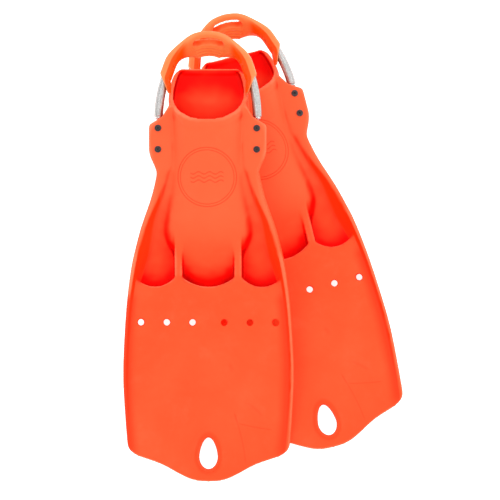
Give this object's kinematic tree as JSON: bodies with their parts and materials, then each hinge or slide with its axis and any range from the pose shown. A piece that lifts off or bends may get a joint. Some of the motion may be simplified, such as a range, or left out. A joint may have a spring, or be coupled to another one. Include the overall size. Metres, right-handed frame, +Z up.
{
  "type": "swim fins",
  "caption": "Pair of rubber swim fins with a broad vented blade, stiff side rails and an open foot pocket, each held on the foot by stainless springs and a soft heel pad with a finger loop.",
  "frame": {"origin": "middle of the pair's footprint, on the ground", "axes": "+Z up, +Y towards the heels along the upper fin, +X towards the lower fin"},
  "size_m": [0.3808, 0.6402, 0.169],
  "materials": {
    "fin_rubber": "matte moulded rubber, bright orange-red",
    "pad_rubber": "satin moulded rubber, a yellower orange",
    "spring_steel": "drawn stainless wire",
    "stainless": "machined stainless",
    "dark_steel": "black oxide"
  },
  "bodies": {
    "lower_fin": {"lower_fin_body": "fin_rubber", "lower_left_tang": "stainless", "lower_right_tang": "stainless", "lower_lug_screws": "dark_steel", "lower_barrel_nuts": "dark_steel"},
    "lower_strap": {"lower_left_spring": "spring_steel", "lower_right_spring": "spring_steel", "lower_left_spring_cup": "stainless", "lower_right_spring_cup": "stainless"},
    "lower_pad": {"lower_heel_pad": "pad_rubber", "lower_left_pad_anchor": "stainless", "lower_right_pad_anchor": "stainless"},
    "upper_fin": {"upper_fin_body": "fin_rubber", "upper_left_tang": "stainless", "upper_right_tang": "stainless", "upper_lug_screws": "dark_steel", "upper_barrel_nuts": "dark_steel"},
    "upper_strap": {"upper_left_spring": "spring_steel", "upper_right_spring": "spring_steel", "upper_left_spring_cup": "stainless", "upper_right_spring_cup": "stainless"},
    "upper_pad": {"upper_heel_pad": "pad_rubber", "upper_left_pad_anchor": "stainless", "upper_right_pad_anchor": "stainless"}
  },
  "joints": [
    {"name": "upper_fin_lift", "type": "slide", "parent": "lower_fin", "child": "upper_fin", "axis": [0, 0, 1], "range_m": [0, 0.15]},
    {"name": "lower_strap_swing", "type": "hinge", "parent": "lower_fin", "child": "lower_strap", "pos_m": [-0.02495, 0.2056, 0.048], "axis": [0.9697, 0.2445, 0], "range_deg": [0, 30]},
    {"name": "lower_strap_stretch", "type": "slide", "parent": "lower_strap", "child": "lower_pad", "axis": [-0.2435, 0.966, -0.0872], "range_m": [0, 0.03], "stiffness_N_per_m": 900, "springref_m": -0.002, "deforming": ["lower_left_spring", "lower_right_spring"]},
    {"name": "upper_strap_swing", "type": "hinge", "parent": "upper_fin", "child": "upper_strap", "pos_m": [-0.07492, 0.15904, 0.12933], "axis": [0.9992, -0.0092, 0.0384], "range_deg": [0, 30]},
    {"name": "upper_strap_stretch", "type": "slide", "parent": "upper_strap", "child": "upper_pad", "axis": [0.0107, 0.9992, -0.0384], "range_m": [0, 0.03], "stiffness_N_per_m": 900, "springref_m": -0.002, "deforming": ["upper_left_spring", "upper_right_spring"]}
  ]
}
